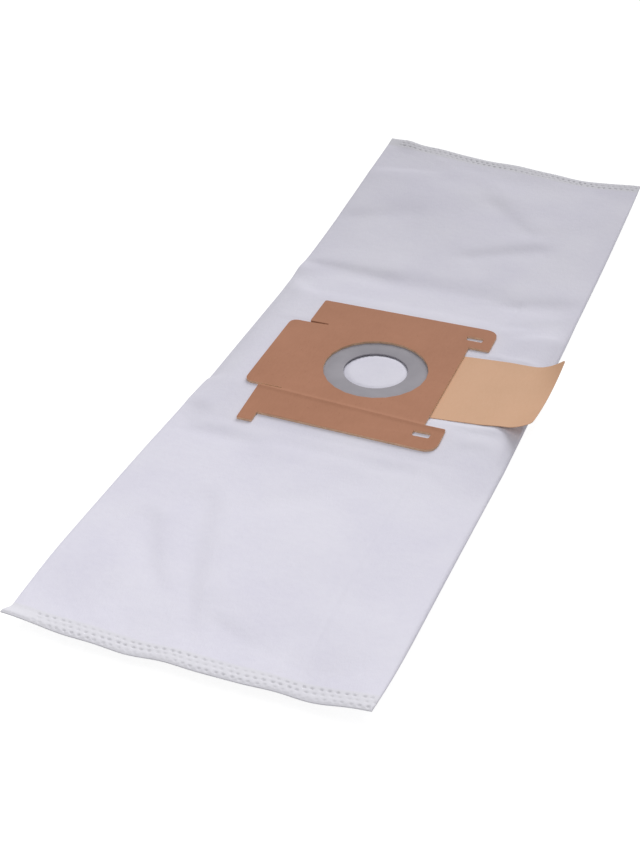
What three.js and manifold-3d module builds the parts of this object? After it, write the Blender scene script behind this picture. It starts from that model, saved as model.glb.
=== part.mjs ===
// Vacuum dust bag: a flat fleece tube, folded along both sides and welded shut across both ends.
// A die-cut card collar is glued over its inlet, with a rubber seal ring under the card's hole
// and a paper closing strip under the card's right edge.
// Millimetres, +Z up. X runs across the bag, Y along it. The bag lies on Z = 0 as it came out of
// its packing: it was folded in three, and both end panels still stand up a little.
// While it is built, the middle of the inlet hole is at X = Y = 0. At the end the whole bag is
// moved so that the origin is under the middle of its bounding box.

import * as THREE from 'three';
import { mergeVertices } from 'three/addons/utils/BufferGeometryUtils.js';
import Module from 'manifold-3d';

const wasm = await Module();
wasm.setup();

// Bag: a tube of fleece.
const BAG_WIDTH = 189;
const BAG_OFFSET = 0.6;
const END_PINCH = { width: 2, reach: 60 };
const BAG_LENGTH = 564;
const INLET_OFF_MIDDLE = 17;
const BAG_TURN = THREE.MathUtils.degToRad(-0.5);
const FLEECE = 1;
const SIDE_FOLD = 3.6;
const FLEECE_HOLE = 56;
const WELD_WIDTH = 13;
const WELD_THICKNESS = 1.6;
const WELD_FADE = 26;
const WELD_WAVE = { length: 85, height: 0.6, start: 0.6, reach: 34 };
const INSIDE_END = 17;

// How the bag lies: the end panels rise from the two packing folds.
const UPPER_FOLD = 112;
const UPPER_FOLD_LIFT = 2;
const UPPER_RISE = {
  left: { from: 112, height: 17.2, power: 1.4 },
  middle: { from: 112, height: 9.8, power: 1.6 },
  right: { from: 112, height: 9, power: 2.2 },
};
const UPPER_SWAY = 2.4;
const EDGE_BEND = 2.5;
const FOLD_EAR = { height: 1.8, reach: 9 };
const LOWER_FOLD = -79;
const LOWER_RISE = {
  left: { from: -32, height: 10.4, power: 0.45 },
  middle: { from: -65, height: 8.6, power: 0.6 },
  right: { from: -60, height: 14.4, power: 0.85 },
};
const PANEL_SWELL = { height: 3.4, reach: 65, fullness: 4 };
const FOLD_PINCH = { reach: 10, upper: 2.3, lower: 0.9 };
const SHOULDER = { left: 2.2, right: 4 };

// Soft wrinkles of the two end panels. Their ends are shares of the half width across, and of
// the way from the packing fold to the panel's end.
const WRINKLES = {
  upper: [
    { from: [0.55, 0.43], to: [0.08, 0.28], width: 8, depth: 1.3 },
    { from: [0.42, 0.49], to: [0.05, 0.67], width: 9, depth: 1.1 },
    { from: [0.05, 0.67], to: [-0.23, 0.82], width: 10, depth: 0.8 },
    { from: [-0.9, 0.4], to: [-0.5, 0.5], width: 11, depth: 1 },
    { from: [-0.5, 0.5], to: [-0.4, 0.76], width: 11, depth: 0.8 },
  ],
  lower: [
    { from: [-0.4, 0.38], to: [-0.12, 0.78], width: 10, depth: 1 },
    { from: [-0.58, 0.52], to: [-0.32, 0.8], width: 10, depth: 0.9 },
    { from: [0, 0.78], to: [0.5, 0.9], width: 9, depth: 0.9 },
    { from: [0.58, 0.05], to: [-0.2, 0.36], width: 10, depth: 0.7 },
  ],
};

// Collar stack above the bag: seal ring, card, closing strip.
const DECK_HEIGHT = 11;
const DECK_MARGIN = { left: 2, right: 5, top: 4.7, bottom: 2.5 };
const SEAL_THICKNESS = 1;
const SEAL_HOLE = 38;
const SEAL_DIAMETER = 68;
const CARD_THICKNESS = 1.3;
const CARD_HOLE = 62;
const CARD_RIGHT = 44.4;
const ARM_REACH = 57;
const ARM_CORNER = 8.5;
const TOP_EDGE = 65.3;
const TOP_ARM_EDGE = 42;
const TOP_STRIP_LEFT = -56;
const BOTTOM_EDGE = { left: -63.2, right: -66.7 };
const BOTTOM_STRIP_LEFT = -58.2;
const HOOK_WIDTH = 9.2;
const HOOK_LENGTH = 8.3;
const FLAP_LEFT = -68;
const FLAP_HALF = 37.5;
const FLAP_CORNER = 5.5;
const SLIT = 1.2;
const SLIT_END = -44;
const SLOT = { length: 10.2, width: 4.6, round: 1.2, fromSide: 11.7, fromTop: 13.3, fromBottom: 12.7 };
const CREASE = { left: -40.5, right: -46, drop: 0.07 };
const JOIN_OVERLAP = 0.05;

// Closing strip: thin paper, glued by its root under the card's right edge.
const PAPER = 0.4;
const CLEARANCE = 0.3;
const STRIP_WIDTH = 68.5;
const STRIP_MIDDLE = -0.75;
const STRIP_ROOT = 9;
const STRIP_FREE = 58.5;
const STRIP_END_SLANT = 0.14;
const STRIP_TURN = THREE.MathUtils.degToRad(6);
const STRIP_CORNER = { upper: 4, lower: 2 };
const STRIP_CURL = { start: 42, upper: 8, middle: 2.6, lower: 5.2 };
const STRIP_TWIST = { start: 24, upper: -0.9, lower: 1.1 };

// Facets: sides of a circle, steps round a side fold and, in millimetres, along the bag.
const CIRCLE_STEPS = 48;
const FOLD_STEPS = 3;
const STEP = { weld: 7, panel: 12, fold: 7, card: 11, collar: 28 };
const WELD_ZONE = 39;
const FOLD_ZONE = 22;

const halfWidth = BAG_WIDTH / 2;
const bagTop = BAG_LENGTH / 2 + INLET_OFF_MIDDLE;
const bagBottom = INLET_OFF_MIDDLE - BAG_LENGTH / 2;
const cardBottom = DECK_HEIGHT + SEAL_THICKNESS;
const deckLeft = DECK_MARGIN.left - FLAP_LEFT;
const deckRight = ARM_REACH + DECK_MARGIN.right;
const deckTop = TOP_EDGE + DECK_MARGIN.top;
const deckBottom = BOTTOM_EDGE.left - HOOK_LENGTH - DECK_MARGIN.bottom;

function ramp(value, from, to) {
  const share = THREE.MathUtils.clamp((value - from) / (to - from), 0, 1);
  return share * share * (3 - 2 * share);
}

function toEnd(y) {
  return Math.min(bagTop - y, y - bagBottom);
}

// Height that a curve has reached at a place along the bag, on its way to the bag's end.
function riseAt(curve, y, end) {
  const share = THREE.MathUtils.clamp((y - curve.from) / (end - curve.from), 0, 1);
  return curve.height * share ** curve.power;
}

// The middle and the two side edges rise by their own curves, and the sheet bends between them.
function panelRise(rise, share, y, end) {
  const middle = riseAt(rise.middle, y, end);
  const side = riseAt(share < 0 ? rise.left : rise.right, y, end);
  return middle + (side - middle) * Math.abs(share) ** EDGE_BEND;
}

// The limp welded ends wave a little, and the wave dies out in the panel.
function weldWave(x, y) {
  const turn = (2 * Math.PI * x) / WELD_WAVE.length + WELD_WAVE.start;
  return WELD_WAVE.height * Math.sin(turn) * ramp(toEnd(y), WELD_WAVE.reach, 0);
}

// Height of the bag's underside over the table.
function underside(x, y) {
  const share = x / halfWidth;
  const upper = Math.max(0, (y - UPPER_FOLD) / (bagTop - UPPER_FOLD));
  const ear = FOLD_EAR.height * Math.exp(-(((y - UPPER_FOLD) / FOLD_EAR.reach) ** 2));
  return UPPER_FOLD_LIFT * ramp(y, deckTop, UPPER_FOLD)
    + weldWave(x, y)
    + panelRise(UPPER_RISE, share, y, bagTop)
    + panelRise(LOWER_RISE, share, y, bagBottom)
    - UPPER_SWAY * Math.sin(Math.PI * share) * upper ** 2
    + ear * Math.max(0, -share) ** 4;
}

// How far the tube stands open at its side folds: full in the middle, pressed flat at the welds.
function sideThickness(y) {
  return WELD_THICKNESS + (SIDE_FOLD - WELD_THICKNESS) * ramp(toEnd(y), WELD_WIDTH / 2, WELD_FADE);
}

// Depth of the soft wrinkles in the top sheet at a point.
function wrinkleDepth(x, y) {
  const isUpper = y > INLET_OFF_MIDDLE;
  const wrinkles = isUpper ? WRINKLES.upper : WRINKLES.lower;
  const fold = isUpper ? UPPER_FOLD : LOWER_FOLD;
  const end = isUpper ? bagTop : bagBottom;
  const placeOf = ([across, down]) => new THREE.Vector2(across * halfWidth, fold + (end - fold) * down);
  let depth = 0;
  for (const wrinkle of wrinkles) {
    const start = placeOf(wrinkle.from);
    const along = placeOf(wrinkle.to).sub(start);
    const offset = new THREE.Vector2(x, y).sub(start);
    const share = THREE.MathUtils.clamp(offset.dot(along) / along.lengthSq(), 0, 1);
    const distance = offset.sub(along.multiplyScalar(share)).length();
    depth += wrinkle.depth * Math.exp(-((distance / wrinkle.width) ** 2));
  }
  return depth;
}

// The crease across the card, and how far a point lies below it.
function creaseAt(x) {
  const share = (x - SLIT_END) / (CARD_RIGHT - SLIT_END);
  return CREASE.left + (CREASE.right - CREASE.left) * share;
}

function cardDrop(x, y) {
  return CREASE.drop * Math.max(0, creaseAt(x) - y);
}

// Height of the top sheet under and beside the collar: it follows the card, then rounds down
// to the side folds.
function collarTop(x, y) {
  const level = DECK_HEIGHT - cardDrop(x, Math.max(y, deckBottom));
  const edge = x < 0 ? deckLeft : deckRight;
  const roundness = x < 0 ? SHOULDER.left : SHOULDER.right;
  const share = THREE.MathUtils.clamp((Math.abs(x) - edge) / (halfWidth - edge), 0, 1);
  const side = underside(x, y) + sideThickness(y);
  return side + (level - side) * (1 - share ** roundness);
}

// Height of the top sheet over the two end panels: slack in the middle, pinched at the folds.
function panelTop(x, y) {
  const share = Math.abs(x) / halfWidth;
  const pinchAt = (fold, depth) => depth * Math.exp(-(((y - fold) / FOLD_PINCH.reach) ** 2));
  const slack = PANEL_SWELL.height * ramp(toEnd(y), WELD_WIDTH, PANEL_SWELL.reach)
    - pinchAt(UPPER_FOLD, FOLD_PINCH.upper)
    - pinchAt(LOWER_FOLD, FOLD_PINCH.lower)
    - wrinkleDepth(x, y) * ramp(toEnd(y), WELD_WIDTH, WELD_FADE);
  return underside(x, y) + sideThickness(y) + slack * (1 - share ** PANEL_SWELL.fullness);
}

function topSheet(x, y) {
  const collar = ramp(y, UPPER_FOLD, deckTop) * ramp(y, LOWER_FOLD - FOLD_PINCH.reach * 2, deckBottom);
  return collar * collarTop(x, y) + (1 - collar) * panelTop(x, y);
}

// Places across the bag, as shares of its half width, close together near the side folds.
const HALF_COLUMNS = [0.15, 0.3, 0.45, 0.6, 0.75, 0.86, 0.94, 1];
const COLUMNS = [...HALF_COLUMNS.map((share) => -share).reverse(), 0, ...HALF_COLUMNS];

function evenly(from, to, step) {
  const count = Math.max(1, Math.round((to - from) / step));
  return Array.from({ length: count }, (_, i) => from + ((to - from) * i) / count);
}

// Places along the bag, close together at the folds and the welds.
function stations(endMargin) {
  return [
    ...evenly(bagBottom + endMargin, bagBottom + WELD_ZONE, STEP.weld),
    ...evenly(bagBottom + WELD_ZONE, LOWER_FOLD - FOLD_ZONE, STEP.panel),
    ...evenly(LOWER_FOLD - FOLD_ZONE, deckBottom, STEP.fold),
    ...evenly(deckBottom, CREASE.left, STEP.card),
    ...evenly(CREASE.left, deckTop, STEP.collar),
    ...evenly(deckTop, UPPER_FOLD + FOLD_ZONE, STEP.fold),
    ...evenly(UPPER_FOLD + FOLD_ZONE, bagTop - WELD_ZONE, STEP.panel),
    ...evenly(bagTop - WELD_ZONE, bagTop - endMargin, STEP.weld),
    bagTop - endMargin,
  ];
}

// One loop round the tube, set in by the wall for its inside.
function loopAt(y, inset) {
  const side = sideThickness(y) - 2 * inset;
  const pinch = END_PINCH.width * Math.max(0, 1 - (y - bagBottom) / END_PINCH.reach) ** 2;
  const reach = halfWidth - pinch - inset - side / 2;
  const below = COLUMNS.map((share) => {
    const x = share * reach;
    return new THREE.Vector3(x, y, underside(x, y) + inset);
  });
  const above = below.map(({ x, z }) => {
    return new THREE.Vector3(x, y, Math.max(topSheet(x, y) - inset, z + side));
  });
  const fold = (low, high, hand) => evenly(0, 1, 1 / FOLD_STEPS).slice(1).map((share) => {
    const angle = Math.PI * share;
    const x = low.x + (hand * side * Math.sin(angle)) / 2;
    const z = (low.z + high.z - (high.z - low.z) * Math.cos(angle)) / 2;
    return new THREE.Vector3(x, y, z);
  });
  const rightFold = fold(below.at(-1), above.at(-1), 1);
  const leftFold = fold(below[0], above[0], -1).reverse();
  return [...below, ...rightFold, ...above.reverse(), ...leftFold];
}

// A closed skin over a row of loops.
function loft(loops) {
  const count = loops[0].length;
  const last = (loops.length - 1) * count;
  const faces = [];
  for (let row = 0; row + 1 < loops.length; row += 1) {
    for (let i = 0; i < count; i += 1) {
      const a = row * count + i;
      const b = row * count + ((i + 1) % count);
      faces.push(a, b + count, b, a, a + count, b + count);
    }
  }
  const capOf = (loop) => THREE.ShapeUtils.triangulateShape(loop.map((p) => new THREE.Vector2(p.x, p.z)), []);
  for (const [a, b, c] of capOf(loops[0])) {
    faces.push(a, b, c);
  }
  for (const [a, b, c] of capOf(loops.at(-1))) {
    faces.push(last + a, last + c, last + b);
  }
  const geometry = new THREE.BufferGeometry().setFromPoints(loops.flat());
  geometry.setIndex(faces);
  return geometry;
}

function solidFrom(geometry) {
  const plain = geometry.clone();
  plain.deleteAttribute('normal');
  plain.deleteAttribute('uv');
  const merged = mergeVertices(plain);
  return new wasm.Manifold(new wasm.Mesh({
    numProp: 3,
    vertProperties: new Float32Array(merged.attributes.position.array),
    triVerts: new Uint32Array(merged.index.array),
  }));
}

function geometryFrom(solid) {
  const { vertProperties, triVerts } = solid.getMesh();
  const geometry = new THREE.BufferGeometry();
  geometry.setAttribute('position', new THREE.BufferAttribute(vertProperties, 3));
  geometry.setIndex(new THREE.BufferAttribute(triVerts, 1));
  geometry.computeVertexNormals();
  return geometry;
}

// The bag: the tube less its inside, with the inlet hole cut through the top sheet.
function makeBag() {
  const outside = solidFrom(loft(stations(0).map((y) => loopAt(y, 0))));
  const inside = solidFrom(loft(stations(INSIDE_END).map((y) => loopAt(y, FLEECE))));
  const punch = new THREE.CylinderGeometry(FLEECE_HOLE / 2, FLEECE_HOLE / 2, DECK_HEIGHT, CIRCLE_STEPS);
  punch.rotateX(Math.PI / 2).translate(-BAG_OFFSET, 0, DECK_HEIGHT);
  return geometryFrom(outside.subtract(inside).subtract(solidFrom(punch)));
}

// An outline through corner points, [x, y, radius], each corner rounded by its radius.
function roundedOutline(corners, path) {
  const points = corners.map(([x, y]) => new THREE.Vector2(x, y));
  const towards = (from, to, distance) => from.clone().add(to.clone().sub(from).setLength(distance));
  corners.forEach(([, , radius], i) => {
    const corner = points[i];
    const before = points.at(i - 1);
    const after = points[(i + 1) % points.length];
    const opening = before.clone().sub(corner).angleTo(after.clone().sub(corner));
    const back = radius / Math.tan(opening / 2);
    const enter = towards(corner, before, back);
    const leave = towards(corner, after, back);
    if (i === 0) {
      path.moveTo(enter.x, enter.y);
    } else {
      path.lineTo(enter.x, enter.y);
    }
    if (radius > 0) {
      path.quadraticCurveTo(corner.x, corner.y, leave.x, leave.y);
    }
  });
  path.closePath();
  return path;
}

function slotHole(middleY) {
  const middleX = ARM_REACH - SLOT.fromSide;
  const x = SLOT.length / 2;
  const y = SLOT.width / 2;
  const corners = [[-x, -y], [x, -y], [x, y], [-x, y]];
  return roundedOutline(corners.map(([dx, dy]) => [middleX + dx, middleY + dy, SLOT.round]), new THREE.Path());
}

// The card: one die-cut sheet, bent down a little along the crease below its hole.
function makeCard() {
  const bottomEdge = (x) => {
    const share = (x - BOTTOM_STRIP_LEFT) / (ARM_REACH - BOTTOM_STRIP_LEFT);
    return BOTTOM_EDGE.left + (BOTTOM_EDGE.right - BOTTOM_EDGE.left) * share;
  };
  const hookRight = BOTTOM_STRIP_LEFT + HOOK_WIDTH;
  const hookBottom = bottomEdge(BOTTOM_STRIP_LEFT) - HOOK_LENGTH;
  const outline = [
    [CARD_RIGHT, CREASE.right, 0.4],
    [ARM_REACH, CREASE.right, 1.2],
    [ARM_REACH, bottomEdge(ARM_REACH), ARM_CORNER],
    [hookRight, bottomEdge(hookRight), 0.4],
    [hookRight, hookBottom, 0.8],
    [BOTTOM_STRIP_LEFT, hookBottom, 0.8],
    [BOTTOM_STRIP_LEFT, -FLAP_HALF - SLIT, 0.4],
    [SLIT_END, -FLAP_HALF - SLIT, 0],
    [SLIT_END, -FLAP_HALF, 0],
    [FLAP_LEFT, -FLAP_HALF, FLAP_CORNER],
    [FLAP_LEFT, FLAP_HALF, FLAP_CORNER],
    [SLIT_END, FLAP_HALF, 0],
    [SLIT_END, FLAP_HALF + SLIT, 0],
    [TOP_STRIP_LEFT, FLAP_HALF + SLIT, 0.4],
    [TOP_STRIP_LEFT, TOP_EDGE, 1.5],
    [ARM_REACH, TOP_EDGE, ARM_CORNER],
    [ARM_REACH, TOP_ARM_EDGE, 1.2],
    [CARD_RIGHT, TOP_ARM_EDGE, 0.4],
  ].reverse();
  const shape = roundedOutline(outline, new THREE.Shape());
  shape.holes.push(new THREE.Path().absarc(0, 0, CARD_HOLE / 2, 0, Math.PI * 2, true));
  shape.holes.push(slotHole(TOP_EDGE - SLOT.fromTop), slotHole(BOTTOM_EDGE.right + SLOT.fromBottom));
  const flat = new THREE.ExtrudeGeometry(shape, {
    depth: CARD_THICKNESS,
    bevelEnabled: false,
    curveSegments: CIRCLE_STEPS / 4,
  });
  flat.translate(0, 0, cardBottom);
  const along = new THREE.Vector2(CARD_RIGHT - SLIT_END, CREASE.right - CREASE.left).normalize();
  const normal = [along.y, -along.x, 0];
  const offset = normal[0] * SLIT_END + normal[1] * CREASE.left;
  const [, upper] = solidFrom(flat).splitByPlane(normal, offset);
  const [lower] = solidFrom(flat).splitByPlane(normal, offset - JOIN_OVERLAP);
  const bent = geometryFrom(lower);
  const position = bent.attributes.position;
  for (let i = 0; i < position.count; i += 1) {
    position.setZ(i, position.getZ(i) - cardDrop(position.getX(i), position.getY(i)));
  }
  return geometryFrom(upper.add(solidFrom(bent)));
}

// The seal: a flat rubber ring, narrower inside than the card's hole, so that it grips the nozzle.
function makeSeal() {
  const inner = SEAL_HOLE / 2;
  const outer = SEAL_DIAMETER / 2;
  const profile = [
    [inner, 0],
    [outer, 0],
    [outer, SEAL_THICKNESS],
    [inner, SEAL_THICKNESS],
    [inner, 0],
  ].map(([radius, height]) => new THREE.Vector2(radius, height));
  const ring = new THREE.LatheGeometry(profile, CIRCLE_STEPS);
  ring.rotateX(Math.PI / 2).translate(0, 0, DECK_HEIGHT);
  return geometryFrom(solidFrom(ring));
}

// The closing strip in its own frame: X from the card's edge to the free end, Y across.
function stripHeight(along, across) {
  const share = (2 * across) / STRIP_WIDTH;
  const between = (lower, upper) => (upper + lower) / 2 + ((upper - lower) / 2) * share;
  const mean = (STRIP_CURL.upper + STRIP_CURL.lower) / 2;
  const curl = between(STRIP_CURL.lower, STRIP_CURL.upper) - (mean - STRIP_CURL.middle) * (1 - share * share);
  const rolled = Math.max(0, (along - STRIP_CURL.start) / (STRIP_FREE - STRIP_CURL.start));
  const twist = between(STRIP_TWIST.lower, STRIP_TWIST.upper);
  return curl * rolled * rolled + twist * ramp(along, STRIP_TWIST.start, STRIP_CURL.start);
}

function makeStrip() {
  const rows = [
    ...evenly(-STRIP_ROOT, STRIP_CURL.start, 6),
    ...evenly(STRIP_CURL.start, STRIP_FREE - STRIP_CORNER.upper, 3),
    ...evenly(STRIP_FREE - STRIP_CORNER.upper, STRIP_FREE, 0.8),
    STRIP_FREE,
  ];
  const shares = [-1, -0.6, -0.2, 0.2, 0.6, 1];
  const halfAt = (row, corner) => {
    const past = Math.max(0, row - (STRIP_FREE - corner));
    return STRIP_WIDTH / 2 - corner + Math.sqrt(Math.max(0, corner ** 2 - past ** 2));
  };
  const loops = rows.map((row) => {
    const slant = (STRIP_END_SLANT * Math.max(0, row)) / STRIP_FREE;
    const sheet = (lift) => shares.map((share) => {
      const across = share * halfAt(row, share < 0 ? STRIP_CORNER.lower : STRIP_CORNER.upper);
      return new THREE.Vector3(across, -row - slant * across, stripHeight(row, across) + lift);
    });
    return [...sheet(0), ...sheet(PAPER).reverse()];
  });
  const strip = loft(loops.reverse());
  strip.rotateZ(Math.PI / 2 + STRIP_TURN);
  strip.translate(CARD_RIGHT, STRIP_MIDDLE, DECK_HEIGHT + CLEARANCE);
  return geometryFrom(solidFrom(strip));
}

function piece(name, geometry, color, roughness) {
  const material = new THREE.MeshStandardMaterial({ color, roughness, metalness: 0 });
  const mesh = new THREE.Mesh(geometry, material);
  mesh.name = name;
  return mesh;
}

const bag = piece('bag', makeBag(), 0xd7d5e1, 0.95);
bag.rotation.z = BAG_TURN;
bag.position.x = BAG_OFFSET;

const dustBag = new THREE.Group();
dustBag.add(
  bag,
  piece('inlet_seal', makeSeal(), 0x9b9ba2, 0.6),
  piece('collar_card', makeCard(), 0xaf7d64, 0.85),
  piece('closing_strip', makeStrip(), 0xcfac8e, 0.8),
);

const bounds = new THREE.Box3().setFromObject(dustBag, true);
const middle = bounds.getCenter(new THREE.Vector3());
dustBag.position.set(-middle.x, -middle.y, -bounds.min.z);

export default dustBag;
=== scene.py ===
import math

import bmesh
import bpy
import numpy as np
from mathutils import Matrix, Vector


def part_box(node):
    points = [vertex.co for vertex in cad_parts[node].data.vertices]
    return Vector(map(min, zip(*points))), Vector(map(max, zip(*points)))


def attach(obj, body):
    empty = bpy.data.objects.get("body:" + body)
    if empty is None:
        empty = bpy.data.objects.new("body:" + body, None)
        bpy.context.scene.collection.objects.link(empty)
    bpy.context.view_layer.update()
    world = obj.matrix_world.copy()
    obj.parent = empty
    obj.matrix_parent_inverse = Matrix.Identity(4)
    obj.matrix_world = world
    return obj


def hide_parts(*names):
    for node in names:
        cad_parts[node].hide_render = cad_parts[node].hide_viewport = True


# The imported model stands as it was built. The seal marks the inlet, and every length in the
# sections below is in millimetres from the point on the table under the middle of the inlet.
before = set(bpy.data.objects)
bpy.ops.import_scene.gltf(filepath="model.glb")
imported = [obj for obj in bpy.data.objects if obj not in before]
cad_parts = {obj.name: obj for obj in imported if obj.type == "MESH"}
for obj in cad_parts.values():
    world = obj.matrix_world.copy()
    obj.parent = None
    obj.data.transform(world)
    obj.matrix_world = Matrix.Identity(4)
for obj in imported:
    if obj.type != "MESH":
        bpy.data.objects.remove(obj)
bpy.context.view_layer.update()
seal_low, seal_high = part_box("inlet_seal")
inlet_x = (seal_low.x + seal_high.x) / 2 * 1000
inlet_y = (seal_low.y + seal_high.y) / 2 * 1000

# Camera. It looks down along the bag from the end below the inlet, a little from the right.
camera_azimuth = math.radians(21.17)
camera_elevation = math.radians(34.60)
camera_roll = math.radians(-0.45)
camera_place = Vector((0.23814, -0.73368, 0.49381))
back = Vector((
    math.sin(camera_azimuth) * math.cos(camera_elevation),
    -math.cos(camera_azimuth) * math.cos(camera_elevation),
    math.sin(camera_elevation),
))
level_right = Vector((math.cos(camera_azimuth), math.sin(camera_azimuth), 0))
level_up = back.cross(level_right)
right = math.cos(camera_roll) * level_right + math.sin(camera_roll) * level_up
up = math.cos(camera_roll) * level_up - math.sin(camera_roll) * level_right
camera_data = bpy.data.cameras.new("camera")
camera_data.lens = 64.35
camera_data.sensor_width = 36
camera_data.clip_start = 0.05
camera_data.clip_end = 20
camera = bpy.data.objects.new("camera", camera_data)
camera.matrix_world = Matrix.Translation(camera_place) @ Matrix((right, up, back)).transposed().to_4x4()
bpy.context.scene.collection.objects.link(camera)
bpy.context.scene.camera = camera

# Fleece bag. The real one is a tube of soft nonwoven fleece, folded flat along both long sides
# and welded shut across both ends. It was folded in three in its packing, so both end panels
# still stand up a little from the two folds.
bag_width = 189
bag_length = 564
inlet_off_middle = 17
bag_offset = 0.6
bag_turn = math.radians(-0.5)
half_width = bag_width / 2
bag_top = bag_length / 2 + inlet_off_middle
bag_bottom = inlet_off_middle - bag_length / 2
upper_fold, lower_fold = 112, -79
fleece_wall, least_wall = 1.0, 0.3
fleece_hole = 56
hole_radius = fleece_hole / 2
side_fold, fold_points = 3.6, 4
weld_width, weld_thickness, edge_thinning = 13, 1.6, 0.6
# The collar holds the fleece level as far as the deck's edges, with a shoulder down to each side
# of the bag, and the glue reaches nearly as far. The seal ring lies between the two.
deck_height, deck_left, deck_right, deck_top, deck_bottom = 11, 70, 62, 70, -74
left_shoulder, right_shoulder = 2.8, 6
glue_left, glue_right, glue_top, glue_bottom = -71, 60, 68, -78
seal_hole, seal_diameter, seal_thickness = 38, 68, 1.0
card_bottom = deck_height + seal_thickness
slit_end, card_right = -44, 44.4
crease_left, crease_right, crease_drop = -40.5, -46, 0.07
# How an end panel stands up at its left edge, its middle and its right edge: where the rise
# starts, how high it is at the end of the bag, and the power that it grows with.
upper_rise = ((upper_fold, 17.2, 1.4), (upper_fold, 9.8, 1.6), (upper_fold, 9, 2.2))
lower_rise = ((-32, 10.4, 0.45), (-65, 8.6, 0.6), (-60, 14.4, 0.85))
upper_lift, upper_sway, edge_bend = 2, 2.4, 2.5
ear_height, ear_reach = 1.8, 9
wave_height, wave_length, wave_start, wave_reach = 0.6, 85, 0.6, 34
# The panels are slack between the folds and the welds, and drawn in where the tube was folded.
panel_swell, swell_fullness = 3.4, 4
upper_dip, lower_dip, lower_bulge, dip_reach = 1.5, 0.4, 1.5, 12
weld_droop, droop_reach = 1.3, 15
end_pinch, pinch_reach = 2, 60
undulation_steepness = 0.0006
dimple_rows, dimple_pitch, dimple_above, dimple_below = (2.0, 4.9, 7.8), 4.1, 0.6, 0.2
lap_half, lap_height = 5, 0.35
dome_foot = 46


def ramp(value, start, end):
    """A smooth step from 0 at the start to 1 at the end."""
    share = np.clip((value - start) / (end - start), 0, 1)
    return share * share * (3 - 2 * share)


def to_end(y):
    """Distance from the nearer end of the bag."""
    return np.minimum(bag_top - y, y - bag_bottom)


def panel_rise(rise, share, y, end):
    """The middle and the two side edges of an end panel rise by their own curves."""
    at_left, at_middle, at_right = [
        height * np.clip((y - start) / (end - start), 0, 1) ** power for start, height, power in rise
    ]
    at_edge = np.where(share < 0, at_left, at_right)
    return at_middle + (at_edge - at_middle) * np.abs(share) ** edge_bend


def underside(x, y):
    """Height of the bag's lower face, which lifts off the table towards both ends."""
    share = x / half_width
    upper = np.maximum(0, (y - upper_fold) / (bag_top - upper_fold))
    ear = ear_height * np.exp(-(((y - upper_fold) / ear_reach) ** 2)) * np.maximum(0, -share) ** 4
    lift = upper_lift * ramp(y, deck_top, upper_fold)
    wave = np.sin(2 * np.pi * x / wave_length + wave_start)
    weld_wave = wave_height * wave * ramp(to_end(y), wave_reach, 0)
    upper_part = panel_rise(upper_rise, share, y, bag_top)
    lower_part = panel_rise(lower_rise, share, y, bag_bottom)
    sway = upper_sway * np.sin(np.pi * share) * upper**2
    return lift + weld_wave + upper_part + lower_part - sway + ear


def side_thickness(y):
    """Thickness of the folded sides, which run out into the flat welds."""
    return weld_thickness + (side_fold - weld_thickness) * ramp(to_end(y), weld_width / 2, weld_width * 4.5)


def card_drop(x, y):
    """How far the card is bent down below the crease under its hole."""
    slope = (crease_right - crease_left) / (card_right - slit_end)
    return crease_drop * np.maximum(0, crease_left + slope * (x - slit_end) - y)


# Soft folds left by packing and handling: two ends, and at each end the half width and the
# rise. The fleece steps up across the line towards the bag's far end, and slowly falls back
# within the reach. Where the rise is below zero it steps down.
soft_folds = [
    ((9, 163), (48, 186), (4, 5), (0.9, 1.4), 18),
    ((6, 238), (38, 206), (5, 4), (0.5, 0.55), 18),
    ((-26, 268), (6, 238), (12, 7), (0.6, 0.45), 26),
    ((45, 210), (76, 229), (8, 7), (0.4, 0.15), 20),
    ((-96, 187), (-48, 203), (5, 9), (0.9, 0.8), 34),
    ((-50, 216), (0, 232), (16, 16), (1.0, 0.7), 40),
    ((-46, 206), (-40, 262), (12, 14), (-0.7, -0.6), 34),
    ((-92, 252), (-56, 264), (5, 5), (-0.9, -0.7), 20),
    ((-99, 122), (-34, 118), (3, 4), (1.0, 0.6), 16),
    ((-34, 118), (52, 112), (6, 8), (0.4, 0.3), 22),
    ((-30, 110), (40, 99), (7, 7), (0.3, 0.3), 20),
    ((30, 104), (56, 112), (3, 3), (0.2, 0.2), 10),
    ((56, 113), (98, 132), (5, 6), (0.6, 1.0), 18),
    ((56, 60), (94, 82), (3.5, 4.5), (-0.9, -1.1), 14),
    ((58, 80), (94, 106), (4, 5), (0.5, 0.8), 18),
    ((-92, 96), (-60, 66), (3, 3), (-0.4, -0.3), 12),
    ((-93, 84), (-64, 56), (3, 3), (0.35, 0.3), 12),
    ((58, -58), (80, -50), (2.5, 3), (0.6, 0.25), 9),
    ((-98, -63), (-60, -69), (3, 4), (0.8, 0.8), 18),
    ((-99, -79), (-44, -82), (12, 12), (1.5, 1.0), 28),
    ((-60, -72), (-34, -92), (6, 8), (0.6, 0.3), 18),
    ((6, -231), (50, -253), (4, 4), (0.7, 1.0), 16),
    ((56, -72), (26, -108), (5, 7), (-0.7, -0.6), 22),
    ((26, -108), (-24, -148), (7, 8), (0.4, 0.2), 22),
    ((-58, -172), (-28, -232), (4, 5), (0.8, 0.9), 14),
    ((-36, -150), (-6, -246), (5, 6), (1.0, 1.7), 18),
]
# Shallow valleys of the same sheet: two ends, half width and depth.
soft_valleys = [
    ((52, 192), (8, 164), 8, 0.4), ((40, 204), (5, 237), 9, 0.4),
    ((5, 237), (-22, 265), 10, 0.4), ((-85, 187), (-47, 206), 11, 0.4), ((-47, 206), (-38, 254), 11, 0.4),
    ((-38, -150), (-11, -224), 10, 0.5), ((-55, -176), (-30, -228), 10, 0.5),
    ((0, -224), (47, -246), 9, 0.4), ((55, -88), (-19, -146), 10, 0.4),
]
pressed_line, pressed_depth = 54, 0.35


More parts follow.
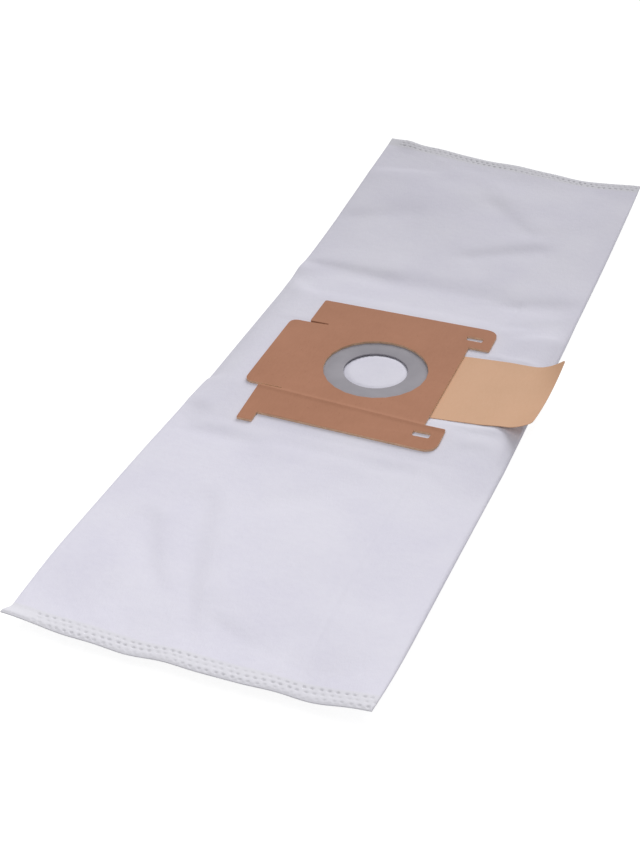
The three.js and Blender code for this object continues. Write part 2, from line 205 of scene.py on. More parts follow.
def line_frame(x, y, start, end):
    """Share of the way along a line, distance past its ends, and distance across it."""
    if start[0] > end[0]:
        along, past, across = line_frame(x, y, end, start)
        return 1 - along, past, across
    length = math.dist(start, end)
    ux, uy = (end[0] - start[0]) / length, (end[1] - start[1]) / length
    along = ((x - start[0]) * ux + (y - start[1]) * uy) / length
    past = length * np.maximum(0, np.maximum(-along, along - 1))
    return np.clip(along, 0, 1), past, (y - start[1]) * ux - (x - start[0]) * uy


def fold_height(x, y):
    """What the soft folds, the valleys and the pressed line add to the upper face."""
    height = np.zeros_like(x)
    for start, end, widths, rises, reach in soft_folds:
        along, past, across = line_frame(x, y, start, end)
        width = widths[0] + (widths[1] - widths[0]) * along
        rise = rises[0] + (rises[1] - rises[0]) * along
        fade = np.exp(-((past / (0.55 * reach)) ** 2)) * np.exp(-((across / reach) ** 2))
        height += rise * np.tanh(across / width) * fade
    for start, end, width, depth in soft_valleys:
        along, past, across = line_frame(x, y, start, end)
        height -= depth * np.exp(-((np.hypot(past, across) / width) ** 2))
    # The tube's lengthwise fold line, pressed in its packing, shows faintly near the right side.
    line = pressed_line + 3 * np.sin(y / 90) - x
    groove = np.exp(-((line / 1.5) ** 2))
    step = np.tanh(line / 5) * np.exp(-((line / 22) ** 2))
    shown = ramp(y, 56, 66) * ramp(y, 118, 108) + ramp(y, -70, -84)
    return height - pressed_depth * (groove + step) * shown


def undulation(x, y):
    """Slow waves of the limp fleece, from a fixed set of crossing waves that bend a little."""
    waves = np.random.default_rng(7)
    height = np.zeros_like(x)
    bent_x = x + 9 * np.sin(y / 33 + 1) + 4 * np.sin(y / 13)
    bent_y = y + 9 * np.sin(x / 29 + 2) + 4 * np.sin(x / 15 + 1)
    for length in (96, 74, 61, 47, 38, 29, 23, 18):
        heading = waves.uniform(0, math.pi)
        phase = waves.uniform(0, 2 * math.pi)
        turned = bent_x * math.cos(heading) + bent_y * math.sin(heading)
        height += undulation_steepness * length * np.sin(2 * math.pi * turned / length + phase)
    return height


def puckers(x, y):
    """Small gathers where the loose fleece runs into a weld."""
    distance = to_end(y) - weld_width
    near = np.exp(-((distance / 9) ** 2)) * ramp(distance, -3, 4)
    return near * (0.1 * np.sin(x / 2.9 + 1.1 * np.sin(x / 17)) + 0.12 * np.sin(x / 7.3 + 2))


strip_width, strip_middle, strip_root, strip_free = 68.5, -0.75, 9, 58.5
strip_turn = math.radians(6)
strip_lift, strip_gap = 0.3, 0.05
twist_start, curl_start = 24, 42


def strip_height(along, across):
    """How far the paper strip stands up from a flat one: it twists a little, then curls."""
    share = 2 * across / strip_width
    curl = 6.6 + 1.4 * share - 4 * (1 - share**2)
    rolled = np.maximum(0, (along - curl_start) / (strip_free - curl_start))
    return curl * rolled**2 + (0.1 - share) * ramp(along, twist_start, curl_start)


def strip_place(x, y):
    """Lengths along and across the strip, and how far a point lies outside it."""
    dx, dy = x - card_right, y - strip_middle
    along = dx * math.cos(strip_turn) + dy * math.sin(strip_turn)
    across = dy * math.cos(strip_turn) - dx * math.sin(strip_turn)
    return along, across, np.maximum(np.abs(across) - strip_width / 2, -strip_root - along)


def below_strip(x, y):
    """The height that the fleece may reach where the paper strip lies on it."""
    along, across, apart = strip_place(x, y)
    paper_height = strip_height(along, np.clip(across, -strip_width / 2, strip_width / 2))
    height = deck_height + strip_lift - strip_gap + paper_height
    return height + 3 * ramp(apart, 0.5, 6) + 2 * np.maximum(0, apart - 5)


def under_strip(x, y):
    """Share by which the fleece is drawn up to the strip above it."""
    apart = strip_place(x, y)[2]
    return ramp(apart, 7, 0) * ramp(x, 90, 78) * ramp(x, 58, 64)


flap_half, slit_width, sag_depth = 37.5, 1.2, 0.45


def flap_sag(x, y):
    """The wide flap sags a little along its upper slit."""
    return sag_depth * ramp(-x, 43, 56) * ramp(y, -20, 36) * ramp(y, 41, 39)


def top_sheet(x, y):
    """Height of the bag's upper face."""
    side = underside(x, y) + side_thickness(y)
    share = np.abs(x) / half_width
    level = deck_height - card_drop(x, np.maximum(y, deck_bottom))
    edge = np.where(x < 0, deck_left, deck_right)
    shoulder = np.clip((np.abs(x) - edge) / (half_width - edge), 0, 1)
    roundness = np.where(x < 0, left_shoulder, right_shoulder)
    collar_part = side + (level - side) * (1 - shoulder**roundness)
    at_upper_fold = np.exp(-(((y - upper_fold) / dip_reach) ** 2))
    at_lower_fold = np.exp(-(((y - lower_fold + 6) / dip_reach) ** 2))
    slack = panel_swell * ramp(to_end(y), weld_width, weld_width * 9) - upper_dip * at_upper_fold
    slack = slack + (lower_bulge * ramp(x, -60, -20) - lower_dip) * at_lower_fold
    panel_part = side + slack * (1 - share**swell_fullness)
    collar = ramp(y, upper_fold, deck_top) * ramp(y, lower_fold - 20, deck_bottom)
    loose = ramp(to_end(y), weld_width, weld_width * 3) * (1 - share**14)
    height = collar * collar_part + (1 - collar) * panel_part
    height = height + loose * (fold_height(x, y) + undulation(x, y)) + puckers(x, y)
    # Under the collar the fleece is glued up to the card, and lower where the seal lies on it.
    # Its middle, which the inlet's punch takes out, is raised over the dome of the lower layer.
    beside_card = np.maximum(glue_left - x, x - glue_right)
    from_card = np.maximum(beside_card, np.maximum(glue_bottom - y, y - glue_top))
    under_card = ramp(from_card, 14, 0)
    radius = np.hypot(x, y)
    seal_rim = seal_diameter / 2
    beside_seal = (seal_thickness - 0.12) * ramp(radius, seal_rim + 0.5, seal_rim + 4)
    glued = level + beside_seal + 2.6 * ramp(radius, hole_radius - 0.5, hole_radius - 8)
    height = height + (glued - flap_sag(x, y) - height) * under_card
    # The fleece bears against the strip from below, as far as the bag's side.
    height = height + np.maximum(0, below_strip(x, y) - strip_gap - height) * under_strip(x, y)
    height = height - weld_droop * ramp(bag_top - y, droop_reach, 0) ** 2
    return np.minimum(height, below_strip(x, y))


def weld_dimples(x, y):
    """The welding tool's marks: three staggered rows of small ovals along each end."""
    marks = np.zeros_like(x)
    distance = to_end(y)
    start = np.where(y < 0, -80, -87)
    for row, depth_in in enumerate(dimple_rows):
        place = x / dimple_pitch + row / 2
        count = np.round(place)
        off = (place - count) * dimple_pitch + 0.3 * np.sin(count * 2.7 + row)
        strength = 0.7 + 0.3 * np.sin(count * 12.9 + row * 4.1)
        reach = np.hypot(off / 1.4, (distance - depth_in - 0.2 * np.sin(count * 5.3)) / 0.9)
        marks = np.maximum(marks, strength * ramp(reach, 1, 0.3))
    return marks * ramp(x, start, start + 3)


def seam_wave(x, y):
    """The limp welded ends wave a little, and the wave dies out in the panel."""
    wave = np.where(y < 0, 0.4, 0.15) * np.sin(x / 7.1 + 2.2) + 0.3 * np.sin(x / 31 + 1)
    upper_left = 1.5 * np.exp(-(((x + 80) / 8) ** 2)) * ramp(y, bag_top - 18, bag_top)
    return wave * ramp(to_end(y), 34, 4) + upper_left


def lap_seam(x, y):
    """The tube is closed by a lengthwise weld on its back, where one edge laps the other."""
    return lap_height * ramp(np.abs(x), lap_half + 0.7, lap_half) * ramp(to_end(y), 8, 14)


def flat_shares(gap):
    """Places across the flat of the tube as shares of its half width, finer near both sides."""
    edge = 0.94
    middle = np.linspace(-edge, edge, round(2 * edge * half_width / gap) + 1)
    right_edge = np.linspace(edge, 1, 6)[1:]
    return np.concatenate((-right_edge[::-1], middle, right_edge))


def lining_dome(radius):
    """The lower layer of fleece bulges up into the inlet and into the seal's hole."""
    return 10.6 - 1.05 * (radius / hole_radius) ** 3 + ramp(radius, 19, 17)


def bag_loop(y, shares, inset):
    """One loop of points round the tube at a place along it, from the underside's left end."""
    side = side_thickness(y) - 2 * inset
    pinch = end_pinch * max(0, 1 - (y - bag_bottom) / pinch_reach) ** 2
    reach = half_width - pinch - inset - side / 2
    x = shares * reach
    across = np.full_like(x, y)
    bottom = underside(x, across) + seam_wave(x, across) + inset
    top = np.maximum(top_sheet(x, across) + seam_wave(x, across) - inset, bottom + side)
    if inset:
        radius = np.hypot(x, y)
        ripple = 0.12 * np.sin(x / 4.3 + 1) * np.sin(y / 5.1)
        dome = lining_dome(np.minimum(radius, hole_radius)) + ripple
        lining = inset + (dome - inset) * ramp(radius, dome_foot, hole_radius)
        bottom = np.minimum(np.maximum(bottom, lining), top - least_wall)
    else:
        marks = weld_dimples(x, across)
        thinned = edge_thinning * ramp(to_end(across), 2, 0)
        bottom = bottom + dimple_below * marks + lap_seam(x, across) + thinned
        top = top - dimple_above * marks - thinned
    edge_wave = 0.35 * np.sin(x / 9.7) + 0.25 * np.sin(x / 4.9 + 1)
    wavy = across + edge_wave * ramp(to_end(across), 10, 0) * np.where(across < 0, -1, 1)
    turns = np.linspace(0, math.pi, fold_points + 2)[1:-1]

    def fold(hand, low, high, low_y):
        middle, half = (low + high) / 2, (high - low) / 2
        bulge = hand * reach + hand * side / 2 * np.sin(turns)
        return np.column_stack((bulge, np.full_like(turns, low_y), middle - half * np.cos(turns)))

    points = np.concatenate((
        np.column_stack((x, wavy, bottom)),
        fold(1, bottom[-1], top[-1], wavy[-1]),
        np.column_stack((x, wavy, top))[::-1],
        fold(-1, bottom[0], top[0], wavy[0])[::-1],
    ))
    # The lower left corner of the weld is stiff and sticks out and up.
    corner = ramp(points[:, 1] - bag_bottom, 9, 0) * ramp(points[:, 0], -66, -92)
    return points + corner[:, None] * np.array((-2.4, 1.0, 1.4))


def places(start, end, gap):
    """Places about a gap apart, from the start up to the last one before the end."""
    return list(np.linspace(start, end, max(2, round((end - start) / gap) + 1)))[:-1]


def tube_skin(bm, rows, inset, facing_in):
    """A closed skin through (place, shares) rows. Where the count of points steps up for a weld,
    each wide face is stitched to the narrow ones beside it."""
    loops = []
    for y, shares in rows:
        points = bag_loop(y, shares, inset)
        loops.append(([bm.verts.new(point) for point in points], len(shares)))

    def face(*corners):
        bm.faces.new(corners if not facing_in else corners[::-1])

    def stitch(coarse, coarse_flat, fine, fine_flat, flip):
        ratio = (fine_flat - 1) // (coarse_flat - 1)
        segments = 2 * ([ratio] * (coarse_flat - 1) + [1] * (fold_points + 1))
        at = 0
        for i, count in enumerate(segments):
            a, b = coarse[i], coarse[(i + 1) % len(coarse)]
            for k in range(count):
                c, d = fine[(at + k) % len(fine)], fine[(at + k + 1) % len(fine)]
                near = a if k < (count + 1) // 2 else b
                face(*((near, c, d) if flip else (near, d, c)))
                if k == (count - 1) // 2 and count > 1:
                    face(*((a, d, b) if flip else (b, d, a)))
            if count == 1:
                face(*((a, d, b) if flip else (b, d, a)))
            at += count

    for (first, first_flat), (second, second_flat) in zip(loops, loops[1:]):
        if first_flat == second_flat:
            for i in range(len(first)):
                j = (i + 1) % len(first)
                face(first[i], first[j], second[j], second[i])
        elif first_flat < second_flat:
            stitch(first, first_flat, second, second_flat, False)
        else:
            stitch(second, second_flat, first, first_flat, True)
    for (ring, flat), turned in ((loops[0], False), (loops[-1], True)):
        # An end is closed by a ladder between the underside's points and the top's.
        top_start = flat + fold_points
        under, over = ring[:flat], ring[top_start:top_start + flat][::-1]
        right_fold, left_fold = ring[flat:top_start], ring[top_start + flat:]
        for i in range(flat - 1):
            rung = (under[i], over[i], over[i + 1], under[i + 1])
            face(*(rung if not turned else rung[::-1]))
        for fan in ([under[-1], over[-1], *right_fold[::-1]], [over[0], under[0], *left_fold[::-1]]):
            face(*(fan if not turned else fan[::-1]))


def finer_between(shares, low, high, count, apart):
    """The same shares with a finer run of their own between two of them."""
    kept = shares[(shares < low - apart) | (shares > high + apart)]
    return np.sort(np.concatenate((kept, np.linspace(low, high, count))))


weld_gap, pucker_gap, panel_gap, fold_gap = 0.5, 1.2, 2.4, 1.5
pucker_zone, fold_zone, upper_fold_zone = 12, 14, 20
weld_low = bag_bottom + weld_width - 1
weld_high = bag_top - weld_width + 1
# The columns are finer beside the pressed line, and each is split in the welds for their marks.
coarse_shares = finer_between(flat_shares(panel_gap), 0.53, 0.62, 10, 0.005)
split = 4
fine_places = np.arange((len(coarse_shares) - 1) * split + 1) / split
fine_shares = np.interp(fine_places, np.arange(len(coarse_shares)), coarse_shares)
bag_rows = [(y, fine_shares) for y in places(bag_bottom, weld_low, weld_gap)]
bag_rows += [(y, coarse_shares) for y in (
    places(weld_low, weld_low + pucker_zone, pucker_gap)
    + places(weld_low + pucker_zone, lower_fold - fold_zone, panel_gap)
    + places(lower_fold - fold_zone, lower_fold + fold_zone, fold_gap)
    + places(lower_fold + fold_zone, upper_fold - fold_zone, panel_gap)
    + places(upper_fold - fold_zone, upper_fold + upper_fold_zone, fold_gap)
    + places(upper_fold + upper_fold_zone, weld_high - pucker_zone, panel_gap)
    + places(weld_high - pucker_zone, weld_high, pucker_gap)
)]
bag_rows += [(y, fine_shares) for y in places(weld_high, bag_top, weld_gap) + [bag_top]]
# The tube's inside ends short of the welds, and is finer round the inlet.
lining_gap, foot_gap, dome_gap, foot_reach, dome_reach = 8, 4, 1.7, 40, 30
lining_low = bag_bottom + weld_width + 22
lining_high = bag_top - weld_width - 22
lining_shares = finer_between(flat_shares(5), -0.33, 0.33, 36, 0.01)
lining_rows = [(y, lining_shares) for y in (
    places(lining_low, -foot_reach, lining_gap)
    + places(-foot_reach, -dome_reach, foot_gap)
    + places(-dome_reach, dome_reach, dome_gap)
    + places(dome_reach, foot_reach, foot_gap)
    + places(foot_reach, lining_high, lining_gap)
    + [lining_high]
)]

bag_bm = bmesh.new()
tube_skin(bag_bm, bag_rows, 0, False)
tube_skin(bag_bm, lining_rows, fleece_wall, True)


def place_on_table(bm, turn=0.0, offset=0.0):
    """From millimetres round the inlet to metres in the frame."""
    move = Matrix.Translation(((inlet_x + offset) / 1000, inlet_y / 1000, 0))
    bm.transform(move @ Matrix.Rotation(turn, 4, "Z") @ Matrix.Scale(0.001, 4))


def make_object(name, bm, *materials):
    mesh = bpy.data.meshes.new(name)
    bm.to_mesh(mesh)
    bm.free()
    for finish in materials:
        mesh.materials.append(finish)
    made = bpy.data.objects.new(name, mesh)
    bpy.context.scene.collection.objects.link(made)
    return made


# Each point keeps how far the fleece is fused there, by the weld's band and by its marks.
band_fused = 0.35
fused = bag_bm.verts.layers.float.new("fused")
for vert in bag_bm.verts:
    inside = to_end(vert.co.y)
    if inside < weld_width:
        spot = weld_dimples(np.array([vert.co.x]), np.array([vert.co.y]))[0]
        vert[fused] = band_fused * float(ramp(inside, 11, 9)) + (1 - band_fused) * float(spot)
place_on_table(bag_bm, bag_turn, bag_offset)

# The inlet is punched through the upper sheet alone, so the punch's lower face is domed too.
punch_steps, punch_circles, punch_top, over_lining = 96, 8, 18, 0.2
punch_profile = []
for circle in range(1, punch_circles + 1):
    radius = hole_radius * circle / punch_circles
    punch_profile.append((radius, lining_dome(radius) + over_lining))
punch_profile.append((hole_radius, punch_top))
punch_bm = bmesh.new()
punch_rings = []
for radius, level in punch_profile:
    punch_rings.append([
        punch_bm.verts.new((radius * math.cos(turn), radius * math.sin(turn), level))
        for turn in np.linspace(0, 2 * math.pi, punch_steps + 1)[:-1]
    ])
for lower, upper in zip(punch_rings, punch_rings[1:]):
    for i in range(punch_steps):
        j = (i + 1) % punch_steps
        punch_bm.faces.new((lower[i], upper[i], upper[j], lower[j]))
punch_bm.faces.new(punch_rings[0])
punch_bm.faces.new(punch_rings[-1])
bmesh.ops.recalc_face_normals(punch_bm, faces=punch_bm.faces)
place_on_table(punch_bm)


def new_material(name):
    finish = bpy.data.materials.new(name)
    finish.use_nodes = True
    nodes = finish.node_tree.nodes
    return finish, nodes, finish.node_tree.links, nodes["Principled BSDF"]


def noise(nodes, links, place, scale, detail=3.0, roughness=0.5, stretch=None):
    """A noise texture on the piece's own coordinates, drawn out along one way if asked."""
    texture = nodes.new("ShaderNodeTexNoise")
    texture.inputs["Scale"].default_value = scale
    texture.inputs["Detail"].default_value = detail
    texture.inputs["Roughness"].default_value = roughness
    if stretch:
        turned = nodes.new("ShaderNodeMapping")
        turned.inputs["Rotation"].default_value = (0, 0, math.radians(stretch[0]))
        turned.inputs["Scale"].default_value = (1, stretch[1], 1)
        links.new(place, turned.inputs["Vector"])
        place = turned.outputs["Vector"]
    links.new(place, texture.inputs["Vector"])
    return texture.outputs["Fac"]


def blend_colors(nodes, links, share, first, second):
    """Colours are linear triples or sockets."""
    mix = nodes.new("ShaderNodeMix")
    mix.data_type = "RGBA"
    for socket, value in (("Factor", share), ("A", first), ("B", second)):
        target = next(s for s in mix.inputs if s.name == socket and s.enabled)
        if isinstance(value, (tuple, float, int)):
            target.default_value = (*value, 1) if isinstance(value, tuple) else value
        else:
            links.new(value, target)
    return next(s for s in mix.outputs if s.enabled)


def spread(nodes, links, value, low, high, to_low=0.0, to_high=1.0):
    """Stretch a value from one range to another, and hold it within the new one."""
    fit = nodes.new("ShaderNodeMapRange")
    fit.inputs["From Min"].default_value = low
    fit.inputs["From Max"].default_value = high
    fit.inputs["To Min"].default_value = to_low
    fit.inputs["To Max"].default_value = to_high
    links.new(value, fit.inputs["Value"])
    return fit.outputs["Result"]


def calc(nodes, links, operation, first, second):
    node = nodes.new("ShaderNodeMath")
    node.operation = operation
    for target, value in zip(node.inputs, (first, second)):
        if isinstance(value, (float, int)):
            target.default_value = value
        else:
            links.new(value, target)
    return node.outputs["Value"]


def add_bump(nodes, links, shader, height, distance, strength=1.0):
    bump = nodes.new("ShaderNodeBump")
    bump.inputs["Distance"].default_value = distance
    bump.inputs["Strength"].default_value = strength
    links.new(height, bump.inputs["Height"])
    links.new(bump.outputs["Normal"], shader.inputs["Normal"])


fleece, nodes, links, shader = new_material("lavender_white_fleece")
place = nodes.new("ShaderNodeTexCoord").outputs["Object"]
cloud = spread(nodes, links, noise(nodes, links, place, 22, 2), 0.35, 0.65)
web = spread(nodes, links, noise(nodes, links, place, 260, 4, 0.6), 0.3, 0.7)
color = blend_colors(nodes, links, cloud, (0.665, 0.650, 0.745), (0.700, 0.687, 0.770))
color = blend_colors(nodes, links, spread(nodes, links, web, 0, 1, 0, 0.18), color, (0.78, 0.77, 0.83))
fused_points = nodes.new("ShaderNodeAttribute")
fused_points.attribute_name = "fused"
weld_share = fused_points.outputs["Fac"]
band = spread(nodes, links, weld_share, 0, band_fused, 0, 0.7)
marks = spread(nodes, links, weld_share, 0.4, 1, 0, 0.6)
color = blend_colors(nodes, links, band, color, (0.66, 0.655, 0.69))
color = blend_colors(nodes, links, marks, color, (0.52, 0.515, 0.55))
links.new(color, shader.inputs["Base Color"])
links.new(spread(nodes, links, weld_share, 0, 1, 0.92, 0.5), shader.inputs["Roughness"])
shader.inputs["Specular IOR Level"].default_value = 0.25
shader.inputs["Sheen Weight"].default_value = 0.08
shader.inputs["Sheen Roughness"].default_value = 0.5
one_way = noise(nodes, links, place, 1500, 3, 0.6, (25, 0.12))
other_way = noise(nodes, links, place, 1500, 3, 0.6, (115, 0.12))
fibres = calc(nodes, links, "ADD", one_way, other_way)
add_bump(nodes, links, shader, calc(nodes, links, "ADD", fibres, web), 0.00012, 0.5)

bag = make_object("fleece_bag", bag_bm, fleece)
punch = make_object("punch", punch_bm)
cut = bag.modifiers.new("inlet", "BOOLEAN")
cut.operation = "DIFFERENCE"
cut.solver = "EXACT"
cut.object = punch
bpy.context.view_layer.objects.active = bag
bpy.ops.object.modifier_apply(modifier=cut.name)
bpy.data.objects.remove(punch)
bag.data.shade_smooth()
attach(bag, "root")
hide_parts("bag")

# Seal ring. The real one is stamped from grey sheet rubber and lies between the fleece and the
# card. Its hole is narrower than the card's, so that it grips the nozzle.
seal_edge = 0.18
seal_steps, corner_steps = 144, 3
seal_bm = bmesh.new()
inner, outer = seal_hole / 2, seal_diameter / 2
profile = []
for radius, height, start in (
    (outer - seal_edge, seal_edge, -90), (outer - seal_edge, seal_thickness - seal_edge, 0),
    (inner + seal_edge, seal_thickness - seal_edge, 90), (inner + seal_edge, seal_edge, 180),
):
    for step in range(corner_steps + 1):
        angle = math.radians(start + 90 * step / corner_steps)
        profile.append((radius + seal_edge * math.cos(angle), height + seal_edge * math.sin(angle)))
rings = []
for step in range(seal_steps):
    angle = 2 * math.pi * step / seal_steps
    rings.append([
        seal_bm.verts.new((r * math.cos(angle), r * math.sin(angle), deck_height + z)) for r, z in profile
    ])
for step in range(seal_steps):
    ring, following = rings[step], rings[(step + 1) % seal_steps]
    for i in range(len(profile)):
        j = (i + 1) % len(profile)
        seal_bm.faces.new((ring[i], following[i], following[j], ring[j]))
place_on_table(seal_bm)

rubber, nodes, links, shader = new_material("grey_sheet_rubber")
place = nodes.new("ShaderNodeTexCoord").outputs["Object"]
grain = noise(nodes, links, place, 900, 5, 0.65)
mottle = spread(nodes, links, noise(nodes, links, place, 60, 3), 0.35, 0.65)
color = blend_colors(nodes, links, mottle, (0.283, 0.270, 0.300), (0.322, 0.308, 0.340))
specks = spread(nodes, links, grain, 0.62, 0.8, 0, 0.35)
color = blend_colors(nodes, links, specks, color, (0.37, 0.36, 0.385))
links.new(color, shader.inputs["Base Color"])
links.new(spread(nodes, links, grain, 0.2, 0.8, 0.5, 0.66), shader.inputs["Roughness"])
shader.inputs["Specular IOR Level"].default_value = 0.15
add_bump(nodes, links, shader, grain, 0.00008, 0.6)

seal = make_object("rubber_seal_ring", seal_bm, rubber)
seal.data.shade_smooth()
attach(seal, "root")
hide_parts("inlet_seal")

# Collar. The real one is die-cut from a sheet of solid brown board. A line pressed across it
# below the hole lets its lower strip bend down, and the knife leaves its cut edges lighter.
card_thickness, rounded_edge = 1.3, 0.13
bead_height, bead_half, bead_reach = 0.38, 1.5, 5
upper_slit = flap_half + slit_width / 2
# Between these heights the upper slit's walls get the darker board colour as painted shade.
painted_shade_from, painted_shade_to = 36.5, 39.2
card_bm = bmesh.new()
card_bm.from_mesh(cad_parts["collar_card"].data)
bmesh.ops.remove_doubles(card_bm, verts=card_bm.verts, dist=1e-6)
card_bm.transform(Matrix.Scale(1000, 4) @ Matrix.Translation((-inlet_x / 1000, -inlet_y / 1000, 0)))
bmesh.ops.dissolve_limit(
    card_bm, angle_limit=math.radians(0.5), verts=card_bm.verts, edges=card_bm.edges,
    use_dissolve_boundaries=False,
)


def slice_card(point, normal):
    everything = [*card_bm.verts, *card_bm.edges, *card_bm.faces]
    bmesh.ops.bisect_plane(card_bm, geom=everything, dist=1e-4, plane_co=point, plane_no=normal)


# The card is cut into finer strips beside its crease, and across its flap, which sags.
crease_start = Vector((slit_end, crease_left, 0))
crease_run = Vector((card_right - slit_end, crease_right - crease_left, 0)).normalized()
crease_across = Vector((-crease_run.y, crease_run.x, 0))
crease_cuts, crease_gap = 6, 0.7
flap_cuts_x = (-43, -46, -49, -52, -56, -60)
flap_cuts_y = (-20, -6, 8, 22, 36)
for step in range(-crease_cuts, crease_cuts + 1):
    slice_card(crease_start + crease_across * (step * crease_gap), crease_across)
for cut_x in flap_cuts_x:
    slice_card(Vector((cut_x, 0, 0)), Vector((1, 0, 0)))
for cut_y in flap_cuts_y:
    slice_card(Vector((0, cut_y, 0)), Vector((0, 1, 0)))
bmesh.ops.triangulate(card_bm, faces=[f for f in card_bm.faces if len(f.verts) > 4])
sharp = [e for e in card_bm.edges if len(e.link_faces) == 2 and e.calc_face_angle() > math.radians(40)]
bmesh.ops.bevel(
    card_bm, geom=sharp, offset=rounded_edge, segments=2, affect="EDGES", profile=0.5, clamp_overlap=True,
)
for vert in card_bm.verts:
    x, y = vert.co.x, vert.co.y
    away = (vert.co - crease_start).dot(crease_across)
    middle = card_bottom + card_thickness / 2 - float(card_drop(x, y))
    if abs(away) < bead_reach and vert.co.z > middle:
        vert.co.z += bead_height * math.exp(-((away / bead_half) ** 2))
    if y < upper_slit:
        vert.co.z -= float(flap_sag(x, y))
card_bm.normal_update()
# The cut edges show lighter board. In the narrow upper slit the walls get the darker board colour instead,
# as painted shade for the slit's shadow.
for face in card_bm.faces:
    middle = face.calc_center_median()
    in_painted_slit_shade = middle.x < slit_end + 0.5 and painted_shade_from < middle.y < painted_shade_to
    is_edge = abs(face.normal.z) < 0.5
    face.material_index = 1 if is_edge and not in_painted_slit_shade else 0
place_on_table(card_bm)

board, nodes, links, shader = new_material("brown_solid_board")
place = nodes.new("ShaderNodeTexCoord").outputs["Object"]
cloud = spread(nodes, links, noise(nodes, links, place, 38, 4, 0.6), 0.3, 0.7)
pulp = noise(nodes, links, place, 700, 5, 0.7, (-4, 0.3))
fleck = spread(nodes, links, noise(nodes, links, place, 1700, 2, 0.5, (8, 0.2)), 0.66, 0.78)
color = blend_colors(nodes, links, cloud, (0.385, 0.176, 0.103), (0.430, 0.200, 0.120))
color = blend_colors(nodes, links, spread(nodes, links, pulp, 0.3, 0.7, 0, 0.3), color, (0.47, 0.235, 0.148))
color = blend_colors(nodes, links, calc(nodes, links, "MULTIPLY", fleck, 0.35), color, (0.24, 0.10, 0.055))
links.new(color, shader.inputs["Base Color"])
shader.inputs["Roughness"].default_value = 0.82
shader.inputs["Specular IOR Level"].default_value = 0.3
add_bump(nodes, links, shader, pulp, 0.00006, 0.6)

cut_board, nodes, links, shader = new_material("knife_cut_board_edge")
place = nodes.new("ShaderNodeTexCoord").outputs["Object"]
layers = noise(nodes, links, place, 500, 4, 0.7)
bands = spread(nodes, links, layers, 0.3, 0.7)
color = blend_colors(nodes, links, bands, (0.56, 0.34, 0.21), (0.74, 0.50, 0.34))
links.new(color, shader.inputs["Base Color"])
shader.inputs["Roughness"].default_value = 0.9
add_bump(nodes, links, shader, layers, 0.00012, 0.7)

card = make_object("die_cut_card_collar", card_bm, board, cut_board)
card.data.set_sharp_from_angle(angle=math.radians(60))
even = card.modifiers.new("even_shading", "WEIGHTED_NORMAL")
even.keep_sharp = True
even.weight = 100
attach(card, "root")
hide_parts("collar_card")

# Closing strip. The real one is a strip of tan paper, glued by its root under the card's right
# edge. It lies loose on the fleece, and its free end curls up past the side of the bag.
paper = 0.4
upper_corner, lower_corner, strip_slant = 2.0, 2.0, 0.14
root_gap, curl_gap, end_gap, strip_columns = 1.5, 0.75, 0.25, 46
ripple_height = 0.1
strip_bm = bmesh.new()
strip_rows = [
    *places(-strip_root, curl_start, root_gap),
    *places(curl_start, strip_free - upper_corner, curl_gap),
    *places(strip_free - upper_corner, strip_free, end_gap),
    strip_free,
]
strip_shares = np.linspace(-1, 1, strip_columns + 1)
sheets = ([], [])
for row in strip_rows:
    halves = []
    for corner in (lower_corner, upper_corner):
        past = max(0.0, row - (strip_free - corner))
        halves.append(strip_width / 2 - corner + math.sqrt(max(0.0, corner**2 - past**2)))
    across = strip_shares * np.where(strip_shares < 0, *halves)
    slant = strip_slant * max(0.0, row) / strip_free
    along = row + slant * across
    x = card_right + along * math.cos(strip_turn) - across * math.sin(strip_turn)
    y = strip_middle + along * math.sin(strip_turn) + across * math.cos(strip_turn)
    from_card = np.full_like(across, row)
    ripple = ripple_height * np.sin(row / 6.1 + across / 19) * ramp(from_card, 4, 20)
    paper_height = strip_height(from_card, across)
    z = deck_height + strip_lift + paper_height + np.maximum(ripple, -strip_gap)
    for sheet, lift in zip(sheets, (0, paper)):
        sheet.append([strip_bm.verts.new((a, b, c + lift)) for a, b, c in zip(x, y, z)])
under, over = sheets
last_row = len(strip_rows) - 1
for i in range(last_row):
    for j in range(strip_columns):
        strip_bm.faces.new((over[i][j], over[i + 1][j], over[i + 1][j + 1], over[i][j + 1]))
        strip_bm.faces.new((under[i][j], under[i][j + 1], under[i + 1][j + 1], under[i + 1][j]))
    strip_bm.faces.new((under[i][0], under[i + 1][0], over[i + 1][0], over[i][0]))
    strip_bm.faces.new((over[i][-1], over[i + 1][-1], under[i + 1][-1], under[i][-1]))
for j in range(strip_columns):
    strip_bm.faces.new((under[0][j + 1], under[0][j], over[0][j], over[0][j + 1]))
    strip_bm.faces.new((under[-1][j], under[-1][j + 1], over[-1][j + 1], over[-1][j]))
place_on_table(strip_bm)

tan_paper, nodes, links, shader = new_material("tan_paper")
place = nodes.new("ShaderNodeTexCoord").outputs["Object"]
cloud = spread(nodes, links, noise(nodes, links, place, 30, 3), 0.35, 0.65)
pulp = noise(nodes, links, place, 900, 4, 0.6, (12, 0.3))
color = blend_colors(nodes, links, cloud, (0.610, 0.368, 0.228), (0.652, 0.390, 0.246))
color = blend_colors(nodes, links, spread(nodes, links, pulp, 0.3, 0.7, 0, 0.25), color, (0.69, 0.45, 0.30))
links.new(color, shader.inputs["Base Color"])
shader.inputs["Roughness"].default_value = 0.75
shader.inputs["Specular IOR Level"].default_value = 0.3
add_bump(nodes, links, shader, pulp, 0.00004, 0.6)

strip = make_object("paper_closing_strip", strip_bm, tan_paper)
strip.data.shade_smooth()
strip.data.set_sharp_from_angle(angle=math.radians(50))
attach(strip, "root")
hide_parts("closing_strip")

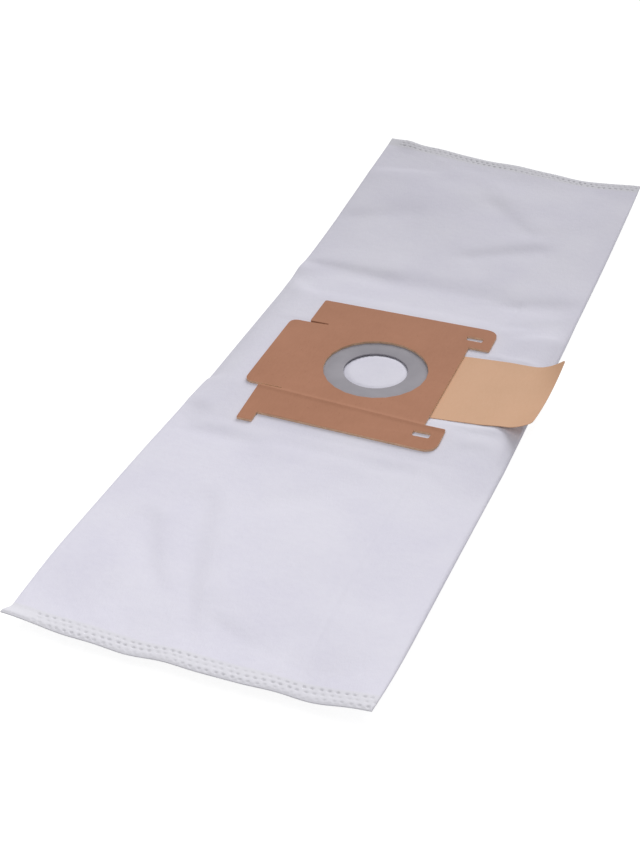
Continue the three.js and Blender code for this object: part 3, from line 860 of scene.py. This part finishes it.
# Table, light and background. A pale table shows white to the camera and keeps the bag's soft
# shadow. One broad light is at the far side, one hangs near the bag's lower end, and the room's
# light fills the rest.
table_bm = bmesh.new()
just_below = Matrix.Translation((0, 0, -0.0001))
bmesh.ops.create_grid(table_bm, x_segments=1, y_segments=1, size=4, matrix=just_below)
pale, nodes, links, shader = new_material("pale_table")
shader.inputs["Roughness"].default_value = 1
shader.inputs["Specular IOR Level"].default_value = 0
glow = nodes.new("ShaderNodeEmission")
glow.inputs["Color"].default_value = (1, 1, 1, 1)
seen = nodes.new("ShaderNodeLightPath")
direct = calc(nodes, links, "MAXIMUM", seen.outputs["Is Camera Ray"], seen.outputs["Is Glossy Ray"])
direct = calc(nodes, links, "MAXIMUM", direct, seen.outputs["Is Transmission Ray"])
glow_strength, lit_color, shown_color = 0.9, (0.86, 0.86, 0.87), (0.25, 0.25, 0.25)
links.new(calc(nodes, links, "MULTIPLY", direct, glow_strength), glow.inputs["Strength"])
links.new(blend_colors(nodes, links, direct, lit_color, shown_color), shader.inputs["Base Color"])
both = nodes.new("ShaderNodeAddShader")
links.new(shader.outputs["BSDF"], both.inputs[0])
links.new(glow.outputs["Emission"], both.inputs[1])
links.new(both.outputs["Shader"], nodes["Material Output"].inputs["Surface"])
table = make_object("table", table_bm, pale)

room_light = 0.33
world = bpy.data.worlds.new("room")
world.use_nodes = True
nodes, links = world.node_tree.nodes, world.node_tree.links
nodes["Background"].inputs["Color"].default_value = (1, 1, 1, 1)
seen = nodes.new("ShaderNodeLightPath").outputs["Is Camera Ray"]
links.new(spread(nodes, links, seen, 0, 1, room_light, 1), nodes["Background"].inputs["Strength"])
bpy.context.scene.world = world


def add_lamp(name, kind, energy, place, target):
    data = bpy.data.lights.new(name, kind)
    data.energy = energy
    lamp = bpy.data.objects.new(name, data)
    lamp.location = place
    lamp.rotation_mode = "QUATERNION"
    lamp.rotation_quaternion = (Vector(place) - Vector(target)).to_track_quat("Z", "Y")
    bpy.context.scene.collection.objects.link(lamp)
    return data


far_light = add_lamp("far_light", "SUN", 2.12, (0.25, 2.0, 1.35), (0, 0, 0))
far_light.angle = math.radians(42)
near_light = add_lamp("near_light", "AREA", 1.15, (-0.07, -0.38, 0.52), (0, -0.2, 0))
near_light.shape = "DISK"
near_light.size = 0.4

bpy.context.scene.view_settings.view_transform = "Standard"
